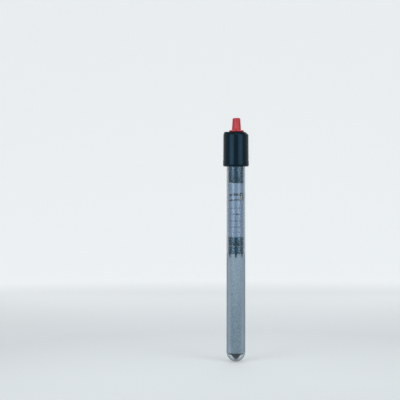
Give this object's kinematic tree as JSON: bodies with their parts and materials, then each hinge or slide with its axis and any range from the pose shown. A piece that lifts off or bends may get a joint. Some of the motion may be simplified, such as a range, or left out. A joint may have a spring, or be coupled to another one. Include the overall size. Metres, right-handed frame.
{
  "type": "submersible aquarium heater",
  "caption": "Slim glass-tube aquarium heater with a black cap, a turning red temperature dial, and its thermostat, lamp and wound heating core inside.",
  "frame": {"origin": "on the glass tube's axis, in the plane of the cap's shoulder", "axes": "+Z along the tube towards the dial, -Y towards the front, where the label faces"},
  "size_m": [0.0278, 0.0278, 0.2588],
  "materials": {
    "glass": "clear, fire-polished",
    "cap_black": "smooth moulded, satin gloss",
    "dial_red": "smooth moulded, gloss",
    "rubber": "matt",
    "brass": "turned",
    "steel": "plated wire and sheet",
    "spring_bronze": "rolled sheet",
    "contact_silver": "polished",
    "ferrite": "sintered, matt",
    "bimetal": "rolled sheet",
    "phenolic": "moulded, satin",
    "lamp_glass": "clear bulb",
    "resistor": "lacquered",
    "capacitor": "dipped",
    "label_paper": "coated",
    "mica": "split sheet",
    "ceramic": "unglazed",
    "sand": "packed fine quartz",
    "sleeving": "woven sleeving"
  },
  "bodies": {
    "heater": {"glass_tube": "glass", "tube_seal": "rubber", "cap_shell": "cap_black", "cord_gland": "rubber", "stopper": "rubber", "spindle_bush": "brass", "thermostat_carrier": "phenolic", "contact_arm": "spring_bronze", "fixed_contact": "contact_silver", "magnet": "ferrite", "arm_rivet": "brass", "bimetal_bracket": "brass", "bracket_rivet": "brass", "neon_lamp": "lamp_glass", "lamp_resistor": "resistor", "suppressor_capacitor": "capacitor", "label_card": "label_paper", "upper_insulator": "phenolic", "mica_washer": "mica", "lower_insulator": "phenolic", "ceramic_core": "ceramic", "heating_coil": "steel", "sand_fill": "sand", "end_pad": "rubber", "return_lead": "steel", "return_crimp": "steel", "coil_crimp": "steel", "live_lead": "sleeving", "neutral_lead": "sleeving", "load_lead": "sleeving"},
    "dial": {"knob": "dial_red", "spindle": "brass", "o_ring_lower": "rubber", "o_ring_upper": "rubber", "retaining_clip": "steel", "setting_screw": "brass"},
    "nut": {"setting_nut": "brass"},
    "bimetal": {"bimetal_strip": "bimetal", "moving_contact": "contact_silver"}
  },
  "joints": [
    {"name": "knob_turn", "type": "hinge", "parent": "heater", "child": "dial", "pos_m": [0.00057, -0.00325, 0.0368], "axis": [0, 0, 1], "range_deg": [-135, 135]},
    {"name": "nut_slide", "type": "slide", "parent": "heater", "child": "nut", "axis": [0, 0, 1], "range_m": [-0.00075, 0.00075]},
    {"name": "bimetal_bend", "type": "hinge", "parent": "heater", "child": "bimetal", "pos_m": [0, 0.00115, -0.0666], "axis": [1, 0, 0], "range_deg": [0, 1.8], "stiffness_Nm_per_rad": 0.05}
  ],
  "couplings": [
    {"joint": "knob_turn", "follows": "nut_slide", "rad_per_m": -3141.6}
  ]
}
